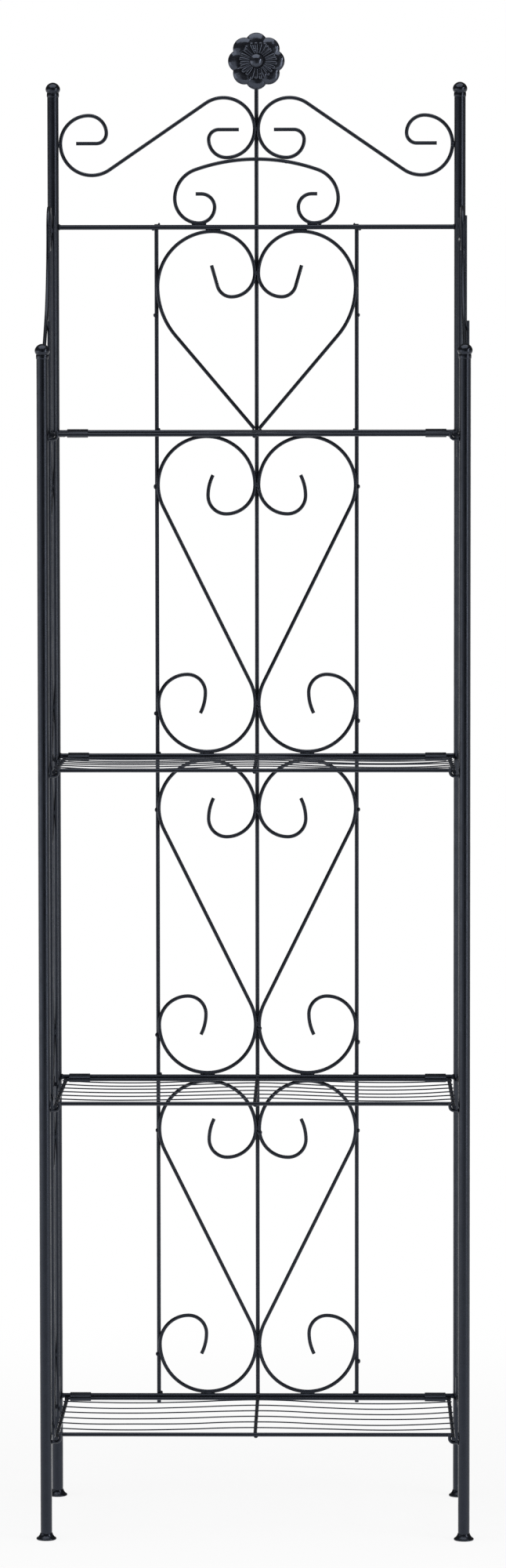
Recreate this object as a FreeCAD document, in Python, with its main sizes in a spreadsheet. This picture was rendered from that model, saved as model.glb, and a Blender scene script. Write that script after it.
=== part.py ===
import FreeCAD, Part
import os
import sys
from math import acos, atan2, cos, degrees, hypot, radians, sin, sqrt

import Sketcher

# A folding bakers rack of coated steel rod and tube: a scrolled back panel, two scrolled side
# frames that turn on upright hinge rods, and four shelves that turn on the back panel's rails.
# X runs to the right, Y to the back and Z up. The origin is on the floor, midway between the posts.

DRIVING_SIZES = [
    # posts
    ("post_spacing", 505.0),
    ("post_depth", 280.0),
    ("post_diameter", 14.0),
    ("post_wall", 1.0),
    ("back_post_head", 160.5),
    ("front_post_head", 87.5),
    # feet
    ("foot_diameter", 24.5),
    ("foot_rim", 2.5),
    ("foot_height", 8.0),
    ("stub_length", 12.0),
    # finials
    ("collar_diameter", 15.6),
    ("collar_height", 4.4),
    ("ball_diameter", 18.8),
    ("ball_height", 18.4),
    ("finial_height", 18.3),
    # rails and upright rods of the back panel
    ("rail_diameter", 6.0),
    ("first_shelf", 127.0),
    ("shelf_pitch", 403.0),
    ("top_rail_rise", 254.0),
    ("centre_rod_diameter", 5.0),
    ("inner_rod_diameter", 5.0),
    ("inner_rod_offset", 124.5),
    ("rod_tail", 9.0),
    ("inner_rod_head", 4.0),
    # bent rods that all scrolls are made from, and how far a lobe stands inside an upright rod
    ("scroll_diameter", 4.5),
    ("scroll_inset", 1.5),
    ("curl_outer_radius", 36.0),
    ("curl_inner_radius", 22.5),
    ("curl_tip_radius", 57.0),
    ("curl_tip_angle", 27.0),
    # crest scrolls
    ("crest_radius", 38.8),
    ("crest_above_arch", 37.0),
    ("crest_outer_drop", 18.0),
    ("crest_curl_outer", 35.0),
    ("crest_curl_middle", 22.0),
    ("crest_curl_inner", 12.5),
    ("crest_tip", 25.0),
    # arch scroll
    ("arch_rise", 84.0),
    ("arch_half_width", 101.5),
    ("arch_shoulder", 38.0),
    ("arch_lobe", 30.0),
    ("arch_curl", 19.5),
    ("arch_curl_inner", 16.5),
    ("arch_tip", 7.0),
    # heart scrolls
    ("heart_inner_arc", 52.0),
    ("heart_side_arc", 93.0),
    ("heart_leg_angle", 40.3),
    ("heart_curl", 29.0),
    ("heart_curl_inner", 18.0),
    ("heart_curl_angle", 74.0),
    ("heart_tip", 27.0),
    # rosette
    ("rosette_above_crest", 84.0),
    ("petal_reach", 35.5),
    ("petal_radius", 14.5),
    ("petal_dome", 5.0),
    ("petal_sheet", 0.8),
    ("disc_diameter", 47.0),
    ("disc_thickness", 1.0),
    ("flute_radius", 2.7),
    ("button_diameter", 18.0),
    ("button_dome", 6.0),
    ("shank_diameter", 6.0),
    # side frames
    ("hinge_rod_diameter", 5.0),
    ("sleeve_diameter", 8.5),
    ("sleeve_clearance", 0.06),
    ("sleeve_length", 22.0),
    ("lower_sleeve_rise", 4.0),
    ("upper_sleeve_drop", 31.0),
    ("tie_diameter", 5.0),
    ("side_rod_diameter", 4.5),
    ("rear_rod_gap", 72.55),
    ("side_tail", 12.0),
    ("side_rod_head", 27.0),
    ("top_tie_rise", 238.0),
    ("loop_radius", 27.0),
    ("loop_above_tie", 9.0),
    ("loop_curl", 24.0),
    ("loop_curl_inner", 15.0),
    ("loop_curl_angle", 110.0),
    ("loop_tip", 8.0),
    ("sweep_radius", 140.0),
    ("sweep_end_drop", 13.5),
    ("rod_above_sweep", 8.0),
    # shelves, their hinge straps and the hooks that carry their side bars
    ("shelf_bar_diameter", 4.8),
    ("centre_bar_diameter", 4.6),
    ("hinge_bar_diameter", 4.0),
    ("hinge_bar_forward", 4.6),
    ("hinge_bar_drop", 3.0),
    ("side_bar_drop", 3.4),
    ("side_bar_gap", 12.5),
    ("front_bar_setback", 20.0),
    ("front_bar_rise", 0.9),
    ("centre_bar_rise", 2.6),
    ("centre_bar_setback", 1.8),
    ("side_bar_overhang", 3.0),
    ("bar_end_overhang", 3.0),
    ("wire_diameter", 1.6),
    ("front_wire_gap", 29.6),
    ("wire_crown", 60.0),
    ("strap_inset", 17.0),
    ("strap_width", 26.0),
    ("strap_clearance", 0.06),
    ("strap_thickness", 1.0),
    ("hook_diameter", 4.0),
    ("hook_clearance", 0.3),
    ("hook_tip", 5.0),
]
SHELF_COUNT = 4
WIRE_COUNT = 6
PETAL_COUNT = 8
FLUTE_COUNT = 24
SIDES = (("left", -1), ("right", 1))

doc = FreeCAD.newDocument("BakersRack")
sheet = doc.addObject("Spreadsheet::Sheet", "Sizes")
for row, (alias, number) in enumerate(DRIVING_SIZES, start=1):
    sheet.set(f"A{row}", alias)
    sheet.set(f"B{row}", str(number))
    sheet.setAlias(f"B{row}", alias)
doc.recompute()
size = {alias: float(sheet.get(alias)) for alias, _ in DRIVING_SIZES}

ALONG = {
    "x": FreeCAD.Rotation(FreeCAD.Vector(0, 1, 0), 90),
    "y": FreeCAD.Rotation(FreeCAD.Vector(1, 0, 0), -90),
    "z": FreeCAD.Rotation(),
    "front": FreeCAD.Rotation(FreeCAD.Vector(1, 0, 0), 90),
}
BACK_PLANE = FreeCAD.Rotation(FreeCAD.Vector(1, 0, 0), 90)
SIDE_PLANE = FreeCAD.Rotation(FreeCAD.Vector(0, 0, 1), -90) * BACK_PLANE
nodes = []


# Helpers ------------------------------------------------------------------------------------

def bind(item, formulas):
    """Tie properties of an object to formulas on the sheet."""
    for place, formula in formulas.items():
        item.setExpression(place, formula)
    return item


def put(item, x, y, z, turn=None):
    """Turn an object and tie its place to the sheet."""
    if turn is not None:
        item.Placement = FreeCAD.Placement(FreeCAD.Vector(), turn)
    bind(item, {"Placement.Base.x": x, "Placement.Base.y": y, "Placement.Base.z": z})
    return item


def keep(item, label):
    """Mark an object as a finished piece of the rack."""
    item.Label = label
    nodes.append(item)
    return item


def cylinder(name, diameter, length, x, y, z, along="z"):
    """A straight round rod that starts at x, y, z."""
    rod = doc.addObject("Part::Cylinder", name)
    bind(rod, {"Radius": f"({diameter}) / 2", "Height": length})
    return put(rod, x, y, z, ALONG[along])


def fused(name, pieces):
    joined = doc.addObject("Part::MultiFuse", name)
    joined.Shapes = pieces
    return joined


def group(name, pieces):
    together = doc.addObject("Part::Compound", name)
    together.Links = pieces
    return together


def coped(name, rod, others):
    """A rod whose ends are cut to the round of what it is welded to."""
    cut = doc.addObject("Part::Cut", name)
    cut.Base = rod
    cut.Tool = others[0] if len(others) == 1 else group(name + "_against", others)
    return cut


def mirrored(name, piece):
    """The left-hand twin of a right-hand piece."""
    twin = doc.addObject("Part::Mirroring", name)
    twin.Source = piece
    twin.Normal = FreeCAD.Vector(1, 0, 0)
    return twin


def tube(name, outer, inner, length, x, y, z):
    """An upright round tube, padded from two circles."""
    body = doc.addObject("PartDesign::Body", name)
    ring = body.newObject("Sketcher::SketchObject", name + "_ring")
    floor = [plane for plane in body.Origin.OriginFeatures if plane.Role == "XY_Plane"][0]
    ring.AttachmentSupport = (floor, [""])
    ring.MapMode = "FlatFace"
    for radius, formula in ((2.0, outer), (1.0, inner)):
        circle = ring.addGeometry(Part.Circle(FreeCAD.Vector(), FreeCAD.Vector(0, 0, 1), radius), False)
        ring.addConstraint(Sketcher.Constraint("Coincident", circle, 3, -1, 1))
        width = ring.addConstraint(Sketcher.Constraint("Diameter", circle, 2 * radius))
        ring.setExpression(f"Constraints[{width}]", formula)
    pad = body.newObject("PartDesign::Pad", name + "_pad")
    pad.Profile = ring
    pad.setExpression("Length", length)
    return put(body, x, y, z)


class Centreline:
    """A bent rod's centreline in a flat plane, drawn run by run as a pen would draw it."""

    def __init__(self, across, up, heading):
        self.at = FreeCAD.Vector(across, up, 0)
        self.heading = heading
        self.runs = []

    def straight(self, length):
        end = self.at + ahead(self.heading) * length
        self.runs.append((Part.LineSegment(self.at, end), 1, 2, None))
        self.at = end
        return self

    def bend(self, radius, turn, alias=None):
        """Turn left by an angle in degrees, or right where it is negative, on an arc."""
        side = 1 if turn > 0 else -1
        centre = self.at + ahead(self.heading + 90 * side) * radius
        start = self.heading - 90 * side
        low, high = sorted((start, start + turn))
        arc = Part.ArcOfCircle(
            Part.Circle(centre, FreeCAD.Vector(0, 0, 1), radius), radians(low), radians(high))
        first, last = (1, 2) if side > 0 else (2, 1)
        self.runs.append((arc, first, last, alias))
        self.heading += turn
        self.at = centre + ahead(start + turn) * radius
        return self


def ahead(heading):
    return FreeCAD.Vector(cos(radians(heading)), sin(radians(heading)), 0)


def through(one_way, other_way):
    """Join two centrelines that leave one point in opposite directions."""
    runs = [(curve, last, first, alias) for curve, first, last, alias in reversed(one_way.runs)]
    return runs + other_way.runs, one_way.at, one_way.heading + 180


def path(name, runs):
    """A sketch of a centreline, each run tangent to the one before it."""
    sketch = doc.addObject("Sketcher::SketchObject", name)
    for index, (curve, first, last, alias) in enumerate(runs):
        sketch.addGeometry(curve, False)
        if index:
            before = runs[index - 1]
            sketch.addConstraint(Sketcher.Constraint("Coincident", index - 1, before[2], index, first))
        if alias is not None:
            radius = sketch.addConstraint(Sketcher.Constraint("Radius", index, size[alias]))
            sketch.setExpression(f"Constraints[{radius}]", f"Sizes.{alias}")
    return sketch


def section(name, diameter, start, heading):
    """The round section of a bent rod at the start of its path."""
    ring = doc.addObject("Part::Circle", name)
    ring.setExpression("Radius", f"({diameter}) / 2")
    facing = FreeCAD.Rotation(FreeCAD.Vector(0, 0, 1), ahead(heading))
    ring.Placement = FreeCAD.Placement(start, facing)
    return ring


def bent_rod(name, ring, spine, x, y, z, turn):
    """A round rod swept along a path."""
    rod = doc.addObject("Part::Sweep", name)
    rod.Sections = [ring]
    rod.Spine = (spine, [])
    rod.Solid = True
    rod.Frenet = False
    return put(rod, x, y, z, turn)


def scroll_jig(name, line, diameter="Sizes.scroll_diameter"):
    """The path and section that every rod bent on one jig shares."""
    runs, start, heading = line
    return section(name + "_section", diameter, start, heading), path(name + "_path", runs)


# Places that several pieces share ----------------------------------------------------------

POST_X = "Sizes.post_spacing / 2"
BACK_Y = "Sizes.post_depth / 2"
FRONT_Y = "-Sizes.post_depth / 2"
ROD_Y = f"{BACK_Y} + (Sizes.rail_diameter + Sizes.inner_rod_diameter) / 2"
CENTRE_ROD_Y = f"{BACK_Y} + (Sizes.rail_diameter + Sizes.centre_rod_diameter) / 2"
ROD_TOUCH = "((Sizes.inner_rod_diameter + Sizes.scroll_diameter) / 2)"
SCROLL_Y = f"{ROD_Y} - sqrt({ROD_TOUCH}^2 - Sizes.scroll_inset^2)"
SIDE_TOUCH = "((Sizes.side_rod_diameter + Sizes.scroll_diameter) / 2)"
SIDE_ROD_X = "(Sizes.tie_diameter + Sizes.side_rod_diameter) / 2"
SIDE_SCROLL_X = f"{SIDE_ROD_X} - sqrt({SIDE_TOUCH}^2 - Sizes.scroll_inset^2)"
HINGE_Y = f"{BACK_Y} - (Sizes.post_diameter + Sizes.sleeve_diameter) / 2"

post_x = size["post_spacing"] / 2
front_reach = size["post_depth"] / 2
scroll_radius = size["scroll_diameter"] / 2
rail_radius = size["rail_diameter"] / 2
rod_touch = (size["inner_rod_diameter"] + size["scroll_diameter"]) / 2
# how far behind the rails' axes the scrolls lie, and how far above or below a rail they touch it
scroll_behind = rail_radius + size["inner_rod_diameter"] / 2 - sqrt(rod_touch**2 - size["scroll_inset"]**2)
rail_touch = sqrt((rail_radius + scroll_radius)**2 - scroll_behind**2)
post_touch = sqrt((size["post_diameter"] / 2 + scroll_radius)**2 - scroll_behind**2)
# a scroll's nearest line to the middle, where it meets its twin
meeting = scroll_radius
top_shelf = size["first_shelf"] + (SHELF_COUNT - 1) * size["shelf_pitch"]
top_rail = top_shelf + size["top_rail_rise"]
arch_top = top_rail + size["arch_rise"]
crest_middle = arch_top + size["crest_above_arch"]
front_post_top = top_shelf + size["front_post_head"]
TOP_SHELF = f"(Sizes.first_shelf + {SHELF_COUNT - 1} * Sizes.shelf_pitch)"
TOP_RAIL = f"({TOP_SHELF} + Sizes.top_rail_rise)"
BACK_POST_TOP = f"({TOP_RAIL} + Sizes.back_post_head)"
FRONT_POST_TOP = f"({TOP_SHELF} + Sizes.front_post_head)"
CREST_MIDDLE = f"({TOP_RAIL} + Sizes.arch_rise + Sizes.crest_above_arch)"
ROSETTE_MIDDLE = f"({CREST_MIDDLE} + Sizes.rosette_above_crest)"
TOP_TIE = f"({TOP_SHELF} + Sizes.top_tie_rise)"
SIDE_ROD_TOP = f"({TOP_TIE} + Sizes.side_rod_head)"


def shelf_height(number):
    """Formula for the height of a shelf's rail, counted from the lowest shelf, 1."""
    return f"(Sizes.first_shelf + {number - 1} * Sizes.shelf_pitch)"


# Posts, feet and finials --------------------------------------------------------------------

BORE = "Sizes.post_diameter - 2 * Sizes.post_wall"
cores = {}


def post(label, x, y, top):
    """A tube that stands on its foot, and the solid core that rods are coped against."""
    length = f"{top} - Sizes.foot_height"
    keep(tube(label, "Sizes.post_diameter", BORE, length, x, y, "Sizes.foot_height"), label)
    cores[label] = cylinder(label + "_core", "Sizes.post_diameter", top, x, y, "0")


def foot(label, x, y):
    """A flared foot: a round rim, a cone up to the tube and a stub inside it."""
    rim = cylinder(label + "_rim", "Sizes.foot_diameter", "Sizes.foot_rim", x, y, "0")
    flare = doc.addObject("Part::Cone", label + "_flare")
    bind(flare, {
        "Radius1": "Sizes.foot_diameter / 2",
        "Radius2": "Sizes.post_diameter / 2",
        "Height": "Sizes.foot_height - Sizes.foot_rim",
    })
    put(flare, x, y, "Sizes.foot_rim")
    stub_length = "Sizes.foot_height - Sizes.foot_rim + Sizes.stub_length"
    stub = cylinder(label + "_stub", BORE, stub_length, x, y, "Sizes.foot_rim")
    keep(fused(label + "_whole", [rim, flare, stub]), label)


def finial(label, x, y, top):
    """A slightly squashed ball that rises from a collar, with a stub inside the tube."""
    stub_length = "Sizes.stub_length + Sizes.collar_height"
    stub = cylinder(label + "_stub", BORE, stub_length, x, y, f"{top} - Sizes.stub_length")
    collar = cylinder(label + "_collar", "Sizes.collar_diameter", "Sizes.collar_height", x, y, top)
    ball = doc.addObject("Part::Ellipsoid", label + "_ball")
    bind(ball, {
        "Radius1": "Sizes.ball_height / 2",
        "Radius2": "Sizes.ball_diameter / 2",
        "Radius3": "Sizes.ball_diameter / 2",
    })
    put(ball, x, y, f"{top} + Sizes.finial_height - Sizes.ball_height / 2")
    keep(fused(label + "_whole", [stub, collar, ball]), label)


for name, side in SIDES:
    x = f"{side} * {POST_X}"
    post(f"back_post_{name}", x, BACK_Y, BACK_POST_TOP)
    foot(f"back_foot_{name}", x, BACK_Y)
    finial(f"back_finial_{name}", x, BACK_Y, BACK_POST_TOP)
    post(f"side_{name}_post", x, FRONT_Y, FRONT_POST_TOP)
    foot(f"side_{name}_foot", x, FRONT_Y)
    finial(f"side_{name}_finial", x, FRONT_Y, FRONT_POST_TOP)


# Back panel: rails and upright rods ----------------------------------------------------------

back_cores = [cores["back_post_left"], cores["back_post_right"]]


def rail(label, z):
    """A cross rod between the back posts, coped to both."""
    rod = cylinder(label + "_rod", "Sizes.rail_diameter", "Sizes.post_spacing",
                   f"-{POST_X}", BACK_Y, z, "x")
    return keep(coped(label, rod, back_cores), label)


for number in range(1, SHELF_COUNT + 1):
    rail(f"shelf_rail_{number}", shelf_height(number))
rail("top_rail", TOP_RAIL)

for name, side in SIDES:
    keep(cylinder(f"inner_rod_{name}", "Sizes.inner_rod_diameter",
                  f"{TOP_RAIL} + Sizes.inner_rod_head - Sizes.first_shelf + Sizes.rod_tail",
                  f"{side} * Sizes.inner_rod_offset", ROD_Y,
                  "Sizes.first_shelf - Sizes.rod_tail"), f"inner_rod_{name}")
keep(cylinder("centre_rod", "Sizes.centre_rod_diameter",
              f"{ROSETTE_MIDDLE} - Sizes.first_shelf + Sizes.rod_tail / 2",
              "0", CENTRE_ROD_Y, "Sizes.first_shelf - Sizes.rod_tail / 2"), "centre_rod")


# Back panel: scrolls -------------------------------------------------------------------------

def cross_tangent(low_to_high_x, low_to_high_z, radius):
    """Turn on each lobe and straight run between two equal lobes on opposite sides of it."""
    span = hypot(low_to_high_x, low_to_high_z)
    slope = degrees(atan2(low_to_high_z, low_to_high_x))
    return slope + degrees(acos(2 * radius / span)), sqrt(span**2 - 4 * radius**2)


def curl(line, turn_side, steps, tip=0.0):
    """Bends that tighten into a curl, with a straight tip where there is one."""
    for alias, turn in steps:
        line.bend(size[alias], turn_side * turn, alias)
    if tip:
        line.straight(tip)
    return line


def s_scroll_line(inner, upper, lower, radius):
    """An S: a lobe at the top, a slanting run and a lobe at the bottom, with a curl in each."""
    leave, run = cross_tangent(0.0, lower - upper, radius)
    steps = [("curl_outer_radius", 90), ("curl_inner_radius", 90),
             ("curl_tip_radius", size["curl_tip_angle"])]
    head = curl(Centreline(inner, upper, -90), 1, steps)
    rest = Centreline(inner, upper, 90)
    rest.bend(radius, leave - 180)
    rest.straight(run)
    rest.bend(radius, 180 - leave)
    curl(rest, 1, steps)
    return through(head, rest)


lobe_radius = (size["inner_rod_offset"] - size["scroll_inset"] - meeting) / 2
s_scroll = scroll_jig("s_scroll", s_scroll_line(
    meeting,
    size["shelf_pitch"] - rail_touch - lobe_radius,
    rail_touch + lobe_radius,
    lobe_radius,
))
for number in range(1, SHELF_COUNT):
    right = keep(bent_rod(f"s_scroll_{number}_right", *s_scroll, "0", SCROLL_Y,
                          shelf_height(number), BACK_PLANE), f"s_scroll_{number}_right")
    keep(mirrored(f"s_scroll_{number}_left", right), f"s_scroll_{number}_left")


def crest_line():
    """A long S on its side, from the middle of the crown down to the post."""
    radius = size["crest_radius"]
    inner = meeting + radius
    outer = post_x - post_touch - radius
    leave, run = cross_tangent(
        outer - inner, -size["crest_outer_drop"], radius)
    steps = [("crest_curl_outer", 90), ("crest_curl_middle", 90), ("crest_curl_inner", 90)]
    head = curl(Centreline(meeting, crest_middle, -90), 1, steps, size["crest_tip"])
    rest = Centreline(meeting, crest_middle, 90)
    rest.bend(radius, leave - 180, "crest_radius")
    rest.straight(run)
    rest.bend(radius, 180 - leave, "crest_radius")
    curl(rest, 1, steps, size["crest_tip"])
    return through(head, rest)


crest = scroll_jig("crest", crest_line())
right = keep(bent_rod("crest_scroll_right", *crest, "0", SCROLL_Y, "0", BACK_PLANE),
             "crest_scroll_right")
keep(mirrored("crest_scroll_left", right), "crest_scroll_left")


def arch_half(side):
    """Half of the arch: crown, shoulder, the lobe that stands on the top rail and its curl."""
    lobe_height = top_rail + rail_touch + size["arch_lobe"]
    rise = arch_top - lobe_height
    shoulder = size["arch_shoulder"]
    reach = size["arch_half_width"] - shoulder
    crown = (reach**2 + rise**2 - shoulder**2) / (2 * (rise - shoulder))
    join = degrees(atan2(crown - rise, reach))
    line = Centreline(0, arch_top, 0 if side > 0 else 180)
    line.bend(crown, -side * (90 - join))
    line.bend(shoulder, -side * join, "arch_shoulder")
    steps = [("arch_lobe", 90), ("arch_curl", 90), ("arch_curl_inner", 90)]
    return curl(line, -side, steps, size["arch_tip"])


arch = scroll_jig("arch", through(arch_half(-1), arch_half(1)))
keep(bent_rod("arch_scroll", *arch, "0", SCROLL_Y, "0", BACK_PLANE), "arch_scroll")


def heart_line():
    """Half of a heart: a curl beside the middle, a wide shoulder and a leg that leans inwards."""
    top = top_rail - rail_touch
    inner_arc = size["heart_inner_arc"]
    outer_arc = size["inner_rod_offset"] - size["scroll_inset"] - meeting - inner_arc
    lean = size["heart_leg_angle"]
    line = Centreline(meeting, top - inner_arc, 90)
    line.bend(inner_arc, -90, "heart_inner_arc")
    line.bend(outer_arc, -90)
    line.bend(size["heart_side_arc"], -lean, "heart_side_arc")
    # the leg's square end stands on the round of the top shelf's rail
    leg_end = top_shelf + sqrt(rail_radius**2 - scroll_behind**2) + scroll_radius * sin(radians(lean))
    line.straight((line.at.y - leg_end) / cos(radians(lean)))
    steps = [("heart_curl", 90), ("heart_curl_inner", size["heart_curl_angle"])]
    head = curl(Centreline(meeting, top - inner_arc, -90), 1, steps, size["heart_tip"])
    return through(head, line)


heart = scroll_jig("heart", heart_line())
right = keep(bent_rod("heart_scroll_right", *heart, "0", SCROLL_Y, "0", BACK_PLANE),
             "heart_scroll_right")
keep(mirrored("heart_scroll_left", right), "heart_scroll_left")


# Rosette -------------------------------------------------------------------------------------

ROSETTE_BACK = f"{CENTRE_ROD_Y} - Sizes.centre_rod_diameter / 2"
PETAL_BALL = "((Sizes.petal_radius^2 + Sizes.petal_dome^2) / (2 * Sizes.petal_dome))"
PETAL_CENTRE = "(Sizes.petal_reach - Sizes.petal_radius)"
PETAL_PLATE_FRONT = f"{ROSETTE_BACK} - Sizes.petal_sheet"
DISC_BACK = f"{ROSETTE_BACK} - Sizes.petal_dome"
DISC_FRONT = f"{DISC_BACK} - Sizes.disc_thickness"


def petals(label):
    """Domed sheet petals round a flat plate."""
    plate = cylinder(label + "_plate", f"2 * {PETAL_CENTRE}", "Sizes.petal_sheet",
                     "0", ROSETTE_BACK, ROSETTE_MIDDLE, "front")
    pieces = [plate]
    hollows = []
    for number in range(PETAL_COUNT):
        angle = 360 * number / PETAL_COUNT
        x = f"{PETAL_CENTRE} * cos({angle} deg)"
        y = f"{ROSETTE_BACK} + {PETAL_BALL} - Sizes.petal_dome"
        z = f"{ROSETTE_MIDDLE} + {PETAL_CENTRE} * sin({angle} deg)"
        dome = doc.addObject("Part::Sphere", f"{label}_dome_{number}")
        bind(dome, {"Radius": PETAL_BALL, "Angle1": f"asin(1 - Sizes.petal_dome / {PETAL_BALL})"})
        pieces.append(put(dome, x, y, z, ALONG["front"]))
        hollow = doc.addObject("Part::Sphere", f"{label}_hollow_{number}")
        bind(hollow, {"Radius": f"{PETAL_BALL} - Sizes.petal_sheet"})
        hollows.append(put(hollow, x, y, z))
    solid = fused(label + "_solid", pieces)
    pressed = coped(label + "_pressed", solid, [fused(label + "_hollows", hollows)])
    whole = fused(label + "_whole", [pressed, plate])
    hole = cylinder(label + "_hole", "Sizes.shank_diameter", "Sizes.petal_sheet",
                    "0", ROSETTE_BACK, ROSETTE_MIDDLE, "front")
    keep(coped(label + "_drilled", whole, [hole]), label)


def disc(label):
    """A round plate with tapering flutes round its middle."""
    plate = cylinder(label + "_plate", "Sizes.disc_diameter", "Sizes.disc_thickness",
                     "0", DISC_BACK, ROSETTE_MIDDLE, "front")
    pieces = [plate]
    button_radius = size["button_diameter"] / 2
    taper = button_radius / (size["disc_diameter"] / 2)
    for number in range(FLUTE_COUNT):
        angle = 360 * (number + 0.5) / FLUTE_COUNT
        flute = doc.addObject("Part::Cone", f"{label}_flute_{number}")
        bind(flute, {
            "Radius1": f"{taper} * Sizes.flute_radius",
            "Radius2": "Sizes.flute_radius",
            "Height": "(Sizes.disc_diameter - Sizes.button_diameter) / 2",
        })
        outward = FreeCAD.Vector(cos(radians(angle)), 0, sin(radians(angle)))
        put(flute, f"Sizes.button_diameter / 2 * cos({angle} deg)", DISC_FRONT,
            f"{ROSETTE_MIDDLE} + Sizes.button_diameter / 2 * sin({angle} deg)",
            FreeCAD.Rotation(FreeCAD.Vector(0, 0, 1), outward))
        pieces.append(flute)
    ribbed = fused(label + "_ribbed", pieces)
    behind = cylinder(label + "_behind", "2 * Sizes.disc_diameter", "Sizes.petal_dome",
                      "0", ROSETTE_BACK, ROSETTE_MIDDLE, "front")
    hole = cylinder(label + "_hole", "Sizes.shank_diameter", "Sizes.disc_diameter",
                    "0", ROSETTE_BACK, ROSETTE_MIDDLE, "front")
    keep(coped(label + "_drilled", ribbed, [behind, hole]), label)


def button(label):
    """A domed rivet head whose shank ends on the centre rod."""
    ball = "((Sizes.button_diameter^2 / 4 + Sizes.button_dome^2) / (2 * Sizes.button_dome))"
    dome = doc.addObject("Part::Sphere", label + "_dome")
    bind(dome, {"Radius": ball, "Angle1": f"asin(1 - Sizes.button_dome / {ball})"})
    put(dome, "0", f"{DISC_FRONT} + {ball} - Sizes.button_dome", ROSETTE_MIDDLE,
        ALONG["front"])
    shank = cylinder(label + "_shank", "Sizes.shank_diameter",
                     "Sizes.petal_dome + Sizes.disc_thickness", "0", ROSETTE_BACK,
                     ROSETTE_MIDDLE, "front")
    keep(fused(label + "_whole", [dome, shank]), label)


petals("rosette_petals")
disc("rosette_disc")
button("rosette_button")


# Sleeves on the back posts that the side frames' hinge rods turn in ---------------------------

SLEEVE_BORE = "Sizes.hinge_rod_diameter + 2 * Sizes.sleeve_clearance"
sleeves = []
for name, side in SIDES:
    heights = {
        "lower": "Sizes.first_shelf + Sizes.lower_sleeve_rise",
        "upper": f"{TOP_SHELF} - Sizes.upper_sleeve_drop",
    }
    for level, z in heights.items():
        sleeves.append(tube(f"sleeve_{level}_{name}", "Sizes.sleeve_diameter", SLEEVE_BORE,
                            "Sizes.sleeve_length", f"{side} * {POST_X}", HINGE_Y, z))
keep(group("side_hinge_sleeves", sleeves), "side_hinge_sleeves")


# Side frames -----------------------------------------------------------------------------------

# The frames' own flat drawing: across runs forwards from the middle of the rack's depth.
side_touch = (size["side_rod_diameter"] + size["scroll_diameter"]) / 2
side_scroll_out = ((size["tie_diameter"] + size["side_rod_diameter"]) / 2
                   - sqrt(side_touch**2 - size["scroll_inset"]**2))
tie_touch = sqrt(((size["tie_diameter"] + size["scroll_diameter"]) / 2)**2 - side_scroll_out**2)
hinge_reach = front_reach - (size["post_diameter"] + size["sleeve_diameter"]) / 2
side_inner = size["rear_rod_gap"] - hinge_reach + size["scroll_inset"]
loop_middle = top_shelf + size["top_tie_rise"] + size["loop_above_tie"]
front_rod_forward = side_inner + 2 * lobe_radius + size["scroll_inset"]
side_scroll = scroll_jig("side_scroll", s_scroll_line(
    side_inner,
    size["shelf_pitch"] - tie_touch - lobe_radius,
    tie_touch + lobe_radius,
    lobe_radius,
))


def sweep_line():
    """A loop at the top, then a long hollow sweep and a straight run down to the front post."""
    loop = size["loop_radius"]
    line = Centreline(side_inner, loop_middle, 90)
    line.bend(loop, -180, "loop_radius")
    centre = line.at.x + size["sweep_radius"]
    down = front_post_top - size["sweep_end_drop"] - loop_middle
    span = hypot(front_reach - centre, down)
    slope = degrees(atan2(down, front_reach - centre))
    leave = slope - degrees(acos(size["sweep_radius"] / span))
    line.bend(size["sweep_radius"], leave + 180, "sweep_radius")
    last_run = sqrt(span**2 - size["sweep_radius"]**2)
    rod_height = line.at.y + (front_rod_forward - line.at.x) * sin(radians(line.heading)) / cos(
        radians(line.heading))
    line.straight(last_run)
    steps = [("loop_curl", 90), ("loop_curl_inner", size["loop_curl_angle"])]
    head = curl(Centreline(side_inner, loop_middle, -90), 1, steps, size["loop_tip"])
    return through(head, line), rod_height


sweep_path, height_at_front_rod = sweep_line()
sweep = scroll_jig("sweep", sweep_path)
TAIL_HEIGHT = "Sizes.first_shelf - Sizes.side_tail"
REAR_ROD_Y = f"{HINGE_Y} - Sizes.rear_rod_gap"


def hook_line(side):
    """A leg out of the post, a quarter bend under the shelf's side bar and a short upright tip."""
    bend = (size["shelf_bar_diameter"] + size["hook_diameter"]) / 2 + size["hook_clearance"]
    line = Centreline(side * post_x, -bend, 180 if side > 0 else 0)
    line.straight(size["side_bar_gap"])
    line.bend(bend, -side * 90)
    line.straight(size["hook_tip"])
    return line.runs, FreeCAD.Vector(side * post_x, -bend, 0), 180 if side > 0 else 0


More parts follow.
